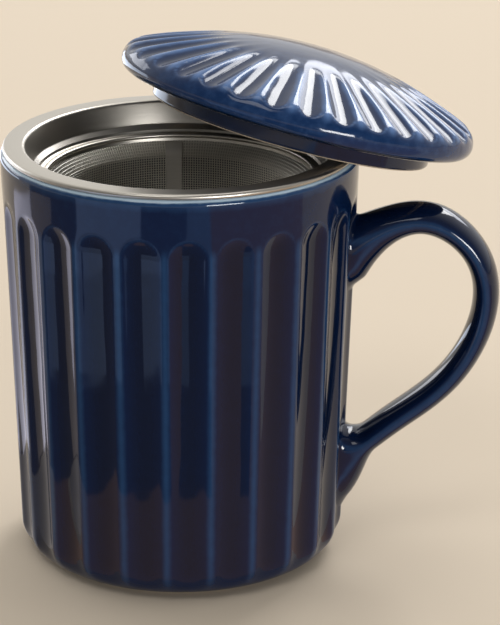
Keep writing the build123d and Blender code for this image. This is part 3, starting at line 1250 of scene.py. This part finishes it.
    def sleeve(self) -> BMesh:
        """Grid of upright and ring wires rolled to a sleeve, flared at its top.

        Returns:
            The grid.
        """
        (bend_radius, bend), (top_radius, high) = self.flare
        low = self.cloth_foot
        lean = top_radius - bend_radius
        half = self.wire / 2
        upright_radius = self.sleeve_radius - half
        section = ((-half, 0), (0, -half), (half, 0), (0, half))
        count = round((high - low) / self.wire_pitch)
        shape = bmesh.new()
        for index in range(count):
            middle = low + (high - low) * (index + 0.5) / count
            share = max(0.0, (middle - bend) / (high - bend))
            ring = upright_radius - self.wire + share * lean
            draw(shape, [(ring + across, middle + up) for across, up in section], closed=True)
        spin(shape, shape.verts[:] + shape.edges[:], self.cloth_steps)
        upright = bmesh.ops.create_cube(shape, size=1.0)["verts"]
        bmesh.ops.scale(shape, vec=(self.wire, self.wire, high - low), verts=upright)
        bmesh.ops.rotate(shape, matrix=Matrix.Rotation(math.pi / 4, 3, "Z"), verts=upright)
        bmesh.ops.translate(shape, vec=(upright_radius, 0, (low + high) / 2), verts=upright)
        marked = set(upright)
        sides = [face for face in shape.faces if marked.intersection(face.verts)]
        edges = [edge for edge in shape.edges if marked.intersection(edge.verts)]
        bmesh.ops.bisect_plane(
            shape, geom=[*upright, *edges, *sides], plane_co=(0, 0, bend), plane_no=(0, 0, 1)
        )
        heads = [vert for vert in upright if vert.co.z > bend]
        bmesh.ops.translate(shape, vec=(lean, 0, 0), verts=heads)
        wires = round(math.tau * upright_radius / self.wire_pitch)
        faces = [face for face in shape.faces if marked.intersection(face.verts)]
        spin(shape, faces, wires - 1, math.tau * (wires - 1) / wires, copies=True)
        return shape

    def base(self) -> BMesh:
        """Disc of crossed wires.

        Returns:
            The disc.
        """
        radius = self.sleeve_radius - self.cloth
        middle = self.foot + self.sheet + self.cloth / 2
        count = int(radius / self.wire_pitch)
        shape = bmesh.new()
        for angle, height in ((0, middle - self.wire / 2), (math.pi / 2, middle + self.wire / 2)):
            turn = Matrix.Rotation(angle, 3, "Z")
            for index in range(-count, count + 1):
                off = index * self.wire_pitch
                length = 2 * math.sqrt(radius**2 - off**2)
                verts = bmesh.ops.create_cube(shape, size=1.0)["verts"]
                bmesh.ops.scale(shape, vec=(length, self.wire, self.wire), verts=verts)
                bmesh.ops.translate(shape, vec=(0, off, height), verts=verts)
                bmesh.ops.rotate(shape, matrix=turn, verts=verts)
        return shape

    def build(self, steel: Material, weld: Material, wire: Material) -> None:
        """Make every piece of the infuser.

        Args:
            steel: finish of the pressed rings.
            weld: finish of the seam's strip.
            wire: finish of the wire cloth.
        """
        pieces = (
            ("infuser_flange", "infuser_collar", self.collar, Slot.STEEL, steel),
            ("infuser_beaded_band", "infuser_top_band", self.top_band, Slot.STEEL, steel),
            ("infuser_foot_band", "infuser_bottom_band", self.bottom_band, Slot.STEEL, steel),
            ("infuser_seam", "infuser_seam_strip", self.seam, Slot.STEEL, weld),
            ("infuser_cloth_sleeve", "infuser_mesh_sleeve", self.sleeve, Slot.CLOTH, wire),
            ("infuser_cloth_base", "infuser_base_mesh", self.base, Slot.CLOTH, wire),
        )
        for name, node, shape, slot, finish in pieces:
            finish_piece(shape(), name, Body.INFUSER, [node], [finish])


# --- lid -------------------------------------------------------------------------------------


@dataclass
class Lid:
    """Domed lid with radial flutes and a locating ring, leaning on the infuser's flange."""

    infuser: Infuser
    overhang: float = 1.0
    ring_height: float = 4.5
    ring_fit: float = 2.6
    ring_wall: float = 2.4
    ring_round: float = 0.9
    ring_root: float = 0.8          # fillet between the ring and the underside
    bare_height: float = 0.4        # the ring's foot is wiped bare this far up
    rim_round: float = 3.0
    dome_height: float = 13.8
    shoulder: float = 5.0
    flutes: int = 32
    flute_section: float = 4.7      # radius of a flute's round section at its outer end
    flute_taper: float = 0.95       # share of it at the inner end
    flute_edge: float = 0.65
    flute_reach: float = 21.35
    flute_margin: float = 3.0       # the outline's points start to lie closer this far inside them
    flute_phase: float = 7.0        # degrees from +X to the middle of the first flute
    sink_rise: Pair = (-0.3, 1.5)   # mm over the widest line between which the flutes fade in
    edge_softness: float = 0.45
    steps_per_flute: int = 14
    under_glaze: float = 0.15       # glaze value of the ring and the underside, darker than the dome as painted shade
    dome_glaze: float = 0.46
    pooling: float = 0.12           # how far the value falls in a flute
    ridge_rise: float = 0.28        # how far it rises on a ridge
    ridge_line: float = 1.15        # mm of the ridge that show it
    lip_rise: float = 0.2           # the same for the flutes' lips
    lip_line: float = 0.22
    thin_rise: Pair = (1.8, 4.2)    # mm over the widest line between which both fade in
    thin_run: float = 6.0           # mm from the flutes' inner ends over which they fade in
    lean_inset: float = 12.9
    lean_bearing: float = 31.1
    lean_gap: float = 0.2

    @property
    def radius(self) -> float:
        """Radius of the lid's widest line."""
        return self.infuser.cup.rim_radius + self.overhang

    @property
    def ring_radius(self) -> float:
        """Outside radius of the locating ring."""
        return self.infuser.mouth - self.ring_fit

    @property
    def hub(self) -> float:
        """Radius at which the shoulder's arc has its centre."""
        return self.radius - self.shoulder

    @property
    def widest(self) -> float:
        """Height of the widest line over the ring's foot."""
        return self.ring_height + self.rim_round

    @property
    def crown(self) -> float:
        """Radius of the sphere that runs tangent into the shoulder."""
        rise = self.dome_height
        return (self.hub**2 + rise**2 - self.shoulder**2) / (2 * (rise - self.shoulder))

    def surface_height(self, distance: float) -> float:
        """Height of the plain dome.

        Args:
            distance: distance from the lid's axis.

        Returns:
            The height.
        """
        tangent = self.hub * self.crown / (self.crown - self.shoulder)
        if distance > tangent:
            return self.widest + math.sqrt(max(0.0, self.shoulder**2 - (distance - self.hub) ** 2))
        top = self.widest + self.dome_height
        return top - self.crown + math.sqrt(self.crown**2 - distance**2)

    def normal(self, distance: float, height: float) -> Vector:
        """Way out of the plain dome at a point of it.

        Args:
            distance: the point's distance from the lid's axis.
            height: its height.

        Returns:
            The unit normal, as (r, z).
        """
        if distance > self.hub:
            return Vector((distance - self.hub, height - self.widest)).normalized()
        hub = self.widest + self.dome_height - self.crown
        return Vector((distance, height - hub)).normalized()

    def outline(self) -> Outline:
        """Outline from the middle of the underside round to the middle of the crown.

        Returns:
            Its points, closer together where the flutes are.
        """
        foot, top = self.ring_height, self.widest + self.dome_height
        outer, inner = self.ring_radius, self.ring_radius - self.ring_wall
        edge = self.radius - self.rim_round
        low = rounded(
            [(0, foot), (inner, foot), (inner, 0), (outer, 0), (outer, foot), (edge, foot)],
            [self.ring_root, self.ring_round, self.ring_round, self.ring_root],
            steps=5,
        )
        crown, hub = self.crown, (0.0, top - self.crown)
        swing = math.degrees(math.asin(self.hub / (crown - self.shoulder)))
        fade = math.degrees(math.asin((self.flute_start - self.flute_margin) / crown))
        rows = [low[0], (inner / 2, foot)] + low[1:-1]
        rows += arc((edge, self.widest), self.rim_round, -90, 0, 9)
        rows += arc((self.hub, self.widest), self.shoulder, 0, 90 - swing, 20)[1:]
        rows += arc(hub, crown, 90 - swing, 90 - fade, 34)[1:]
        return rows + arc(hub, crown, 90 - fade, 90, 10)[1:-1] + [(0, top)]

    @property
    def flute_end(self) -> float:
        """Distance from the axis at which a flute's floor runs out."""
        return self.radius - self.flute_edge

    @property
    def flute_start(self) -> float:
        """Distance from the axis at which a flute fades in."""
        return self.flute_end - self.flute_reach

    def cut(self, distance: float, height: float, off: float) -> float:
        """Depth of the sharp-edged flutes under a point of the plain dome.

        Args:
            distance: the point's distance from the axis.
            height: its height.
            off: radians from the middle of its flute.

        Returns:
            The depth, below zero off the flutes.
        """
        start = Vector((self.flute_start, 0, self.surface_height(self.flute_start)))
        end = Vector((self.flute_end, 0, self.surface_height(self.flute_end)))
        way = (end - start).normalized()
        lift = Vector((-way.z, 0, way.x))
        point = Vector((distance * math.cos(off), distance * math.sin(off), height))
        share = (point - start).dot(way) / self.flute_reach
        section = self.flute_section * (self.flute_taper + (1 - self.flute_taper) * share)
        flat = self.normal(distance, height)
        normal = Vector((flat.x, 0, flat.y))
        normal.rotate(Quaternion((0, 0, 1), off))
        from_axis = point - (start + lift * section)
        from_axis -= way * from_axis.dot(way)
        across = normal - way * normal.dot(way)
        a = across.length_squared
        b = from_axis.dot(across)
        c = from_axis.length_squared - section**2
        root = b * b - a * c
        return -1.0 if root <= 0 else (b + math.sqrt(root)) / a

    def place_vertex(self, vert: BMVert, layer: BMLayerItem) -> None:
        """Sink a vertex into its flute and set its glaze.

        Args:
            vert: vertex of the plain lid.
            layer: the glaze's values.
        """
        distance, height = math.hypot(vert.co.x, vert.co.y), vert.co.z
        # The ring and the underside get a darker value: painted shade under the lid.
        vert[layer] = PLAIN if height > self.ring_height + 1.0 else self.under_glaze
        low, high = (self.widest + rise for rise in self.sink_rise)
        if distance < ON_AXIS or height < low:
            return
        pitch = math.tau / self.flutes
        angle = math.atan2(vert.co.y, vert.co.x)
        off = from_nearest(angle - math.radians(self.flute_phase), pitch)
        sharp = self.cut(distance, height, off)
        sink = rounded_off(sharp, self.edge_softness) * smooth_step(low, high, height)
        ridge = self.ridge_rise * peak(distance * (pitch / 2 - abs(off)), self.ridge_line)
        lip = self.lip_rise * peak(sharp, self.lip_line)
        low, high = (self.widest + rise for rise in self.thin_rise)
        near = smooth_step(self.flute_start, self.flute_start + self.thin_run, distance)
        near *= smooth_step(low, high, height)
        pool = self.pooling * min(1.0, max(0.0, sharp))
        vert[layer] = self.dome_glaze - pool + near * max(ridge, lip)
        normal = self.normal(distance, height)
        shrink = (distance - normal.x * sink) / distance
        vert.co.x *= shrink
        vert.co.y *= shrink
        vert.co.z -= normal.y * sink

    def lean(self) -> Matrix:
        """Place of the leaning lid.

        The foot of its ring lies across the flange's edge at two points, and its flat underside
        lies on the far side of the same edge.

        Returns:
            The move from the lid's own frame to the part's.
        """
        flange = self.infuser.cup.rim_radius - self.infuser.flange_inset
        offset = flange - self.lean_inset
        contact = self.ring_radius - self.ring_wall + self.ring_round / 2
        angle = math.radians(15.0)      # a first guess, which the loop settles
        along = 0.0
        for _ in range(ROUNDS):
            a = math.sin(angle) ** 2
            b = offset * math.cos(angle)
            c = offset**2 + contact**2 - flange**2
            along = (b - math.sqrt(b * b + a * c)) / a
            angle = math.asin(self.ring_height / (flange - offset - along * math.cos(angle)))
        height = self.infuser.top + along * math.sin(angle) + self.lean_gap
        bearing = math.radians(self.lean_bearing)
        ahead = Vector((math.cos(bearing), math.sin(bearing), 0))
        up = Vector((0, 0, 1))
        x_way = ahead * math.cos(angle) - up * math.sin(angle)
        z_way = ahead * math.sin(angle) + up * math.cos(angle)
        turn = Matrix((x_way, z_way.cross(x_way), z_way)).transposed().to_4x4()
        return Matrix.Translation(ahead * offset + up * height) @ turn

    def build(self, glaze: Material, bare: Material) -> None:
        """Make the lid.

        Args:
            glaze: finish of all but the ring's foot.
            bare: finish of the ring's foot.
        """
        shape = bmesh.new()
        layer = shape.verts.layers.float.new(GLAZE)
        spin_outline(shape, self.outline(), self.flutes * self.steps_per_flute, closed=False)
        for vert in shape.verts:
            self.place_vertex(vert, layer)
        bare_below(shape, self.bare_height)
        bmesh.ops.transform(shape, matrix=self.lean(), verts=shape.verts)
        finish_piece(shape, "lid_dome", Body.LID, ["lid"], [glaze, bare])


# --- stage -----------------------------------------------------------------------------------


@dataclass(frozen=True)
class SoftBox:
    """A soft rectangular lamp that faces the mug."""

    name: str
    bearing: float                  # degrees about +Z, 0 in front of the mug, 90 to its right
    elevation: float                # degrees
    distance: float                 # metres, as are its width and height
    width: float
    height: float
    radiance: float
    colour: str = "#ffffff"

    def build(self, aim: Vector) -> None:
        """Make the lamp.

        Args:
            aim: point that it faces.
        """
        way = direction(self.bearing, self.elevation)
        light = bpy.data.lights.new(self.name, "AREA")
        light.shape = "RECTANGLE"
        light.size, light.size_y = self.width, self.height
        light.energy = self.radiance * math.pi * self.width * self.height
        light.color = linear(self.colour)[:3]
        lamp = new_object(self.name, light)
        lamp.location = aim + way * self.distance
        lamp.rotation_euler = way.to_track_quat("Z", "Y").to_euler()
        lamp.visible_camera = False


@dataclass(frozen=True)
class FloorCard:
    """A card on the floor that only glossy rays see, as a flag or bounce does in a studio.

    A faint card gives the wall the deep panels of a glossy pot, and a brighter one its edge lights.
    """

    name: str
    near: float                     # mm from the mug's axis
    far: float
    start: float                    # bearings in degrees, 0 in front of the mug
    end: float
    glow: float
    colour: str
    lift: float = 1.0               # mm over the floor

    def build(self) -> None:
        """Make the card."""
        shape = bmesh.new()
        line = draw(shape, [(self.near, self.lift), (self.far, self.lift)], closed=False)
        start = Matrix.Rotation(math.radians(self.start - 90), 3, "Z")     # +X is at bearing 90
        bmesh.ops.rotate(shape, matrix=start, verts=line[:2])
        spin(shape, line, 24, math.radians(self.end - self.start))
        mesh = new_mesh(shape, self.name)
        settings = {
            "Base Color": linear("#000000"),
            "Specular IOR Level": 0.0,
            "Emission Color": linear(self.colour),
            "Emission Strength": self.glow,
        }
        mesh.materials.append(new_material(self.name, settings)[0])
        card = new_object(self.name, mesh)
        for ray in ("camera", "diffuse", "transmission", "volume_scatter", "shadow"):
            setattr(card, f"visible_{ray}", False)


@dataclass(frozen=True)
class Studio:
    """Floor, lamps, cards, world and camera."""

    floor_radius: float = 12000.0   # mm
    room: str = "#f4f2ee"
    front: float = 0.22             # the room's brightness in front of the mug
    back: float = 1.1               # and behind it
    fade: Pair = (-0.5, 0.7)        # where it changes, from -1 in front to 1 behind
    target: Tuple[float, float, float] = (17.32, 0.0, 61.72)    # mm
    camera_distance: float = 746.4  # mm
    azimuth: float = 3.6            # degrees, as are the next two
    elevation: float = 19.81
    roll: float = 0.26
    lens: float = 172.8             # mm, on a sensor 36 mm wide
    clip: Pair = (0.05, 20.0)       # metres

    def lamps(self) -> List[SoftBox]:
        """The lamps round the mug."""
        return [
            SoftBox("key_behind", 156, 38.5, 3.0, 0.96, 0.9, 10.0),
            SoftBox("key_middle", 170, 35, 3.0, 0.44, 0.28, 5.0),
            SoftBox("key_high", 153, 51, 3.0, 0.6, 0.5, 8.0),
            SoftBox("window_right", 158, 24, 3.2, 1.6, 0.6, 5.0, "#f3f6ff"),
            SoftBox("window_left", -132, 15, 3.2, 1.8, 1.0, 3.2, "#f3f6ff"),
            SoftBox("front_fill", 32, 7, 3.0, 1.2, 0.5, 26.0),
            SoftBox("front_top", -20, 55, 2.8, 1.2, 1.0, 3.0),
            SoftBox("overhead", 180, 82, 2.8, 1.4, 1.0, 1.5),
        ]

    def cards(self) -> List[FloorCard]:
        """The cards that the glaze reflects."""
        return [
            FloorCard("flag", 93, 520, -100, 22, 0.17, "#fff2f4"),
            FloorCard("panel_left", 161, 235, -58, -19, 0.85, "#c8daff", 2.0),
            FloorCard("panel_left_far", 235, 520, -60, -19, 1.3, "#bcd2ff", 2.0),
            FloorCard("panel_right", 161, 235, 9, 22, 0.6, "#c8daff", 2.0),
            FloorCard("panel_right_far", 235, 520, 9, 22, 0.8, "#b4cfff", 2.0),
            FloorCard("wood_left", 93, 300, -99, -80, 0.75, "#e8d8cc", 2.0),
            FloorCard("bounce_left", 92, 300, -122, -99, 2.0, "#f2eeff"),
            FloorCard("bounce_near", 41, 92, -112, -66, 0.7, "#eadfd6"),
            FloorCard("warm_floor", 45, 520, -62, 85, 0.7, "#deb693", 0.5),
            FloorCard("bounce_back", 400, 1300, -160, -112, 3.6, "#e6efff"),
        ]

    def build_floor(self) -> None:
        """Make the floor."""
        shape = bmesh.new()
        bmesh.ops.create_circle(shape, cap_ends=True, segments=96, radius=self.floor_radius)
        mesh = new_mesh(shape, "floor")
        mesh.materials.append(PaleTop().build())
        new_object("floor", mesh)

    def build_world(self) -> None:
        """Light the room softly, brighter behind the mug than in front of it."""
        world = bpy.data.worlds.new("room")
        world.use_nodes = True
        tree = world.node_tree
        way = add_node(tree, "ShaderNodeTexCoord").outputs["Generated"]
        behind = add_node(tree, "ShaderNodeSeparateXYZ", None, {0: way}).outputs["Y"]
        settings = {
            "interpolation_type": "SMOOTHSTEP",
            "From Min": self.fade[0],
            "From Max": self.fade[1],
            "To Min": self.front,
            "To Max": self.back,
        }
        level = add_node(tree, "ShaderNodeMapRange", settings, {"Value": behind})
        background = tree.nodes["Background"]
        background.inputs["Color"].default_value = linear(self.room)
        tree.links.new(level.outputs["Result"], background.inputs["Strength"])
        bpy.context.scene.world = world

    def build_camera(self) -> None:
        """Place the camera."""
        back = direction(self.azimuth, self.elevation)
        data = bpy.data.cameras.new("camera")
        data.lens = self.lens
        data.sensor_width = 36.0
        data.clip_start, data.clip_end = self.clip
        camera = new_object("camera", data)
        camera.location = (Vector(self.target) + back * self.camera_distance) * MM
        turn = (-back).to_track_quat("-Z", "Y")
        roll = Quaternion((0, 0, 1), math.radians(self.roll))
        camera.rotation_mode = "QUATERNION"
        camera.rotation_quaternion = turn @ roll
        bpy.context.scene.camera = camera

    def build(self) -> None:
        """Set up everything round the mug."""
        self.build_floor()
        self.build_world()
        for lamp in self.lamps():
            lamp.build(Vector(self.target) * MM)
        for card in self.cards():
            card.build()
        self.build_camera()
        bpy.context.scene.view_settings.view_transform = "Standard"


def main() -> None:
    """Build the mug, the infuser, the lid and the studio."""
    logging.basicConfig(level=logging.INFO, format="%(name)s: %(message)s")
    navy = NavyGlaze("cobalt_glaze").build()
    # The lid has the cup's cobalt glaze; its lighter plain and thin colours here are a painted
    # reflection of the bright room behind it.
    lid_navy = NavyGlaze(
        "lid_cobalt_glaze_painted_lighter", plain="#08274f", thin="#4f6f9f", roughness=0.09, wave_height=0.2
    ).build()
    bare = BareStoneware().build()
    steel = SatinSteel("satin_stainless").build()
    weld = SatinSteel("pickled_stainless", "#b6b1a8", 0.5, 0.62).build()
    wire = WireSteel().build()
    cup = MugBody()
    cup.build(navy, bare)
    Handle(cup).build(navy)
    infuser = Infuser(cup)
    infuser.build(steel, weld, wire)
    Lid(infuser).build(lid_navy, bare)
    Studio().build()


if __name__ == "__main__":
    main()
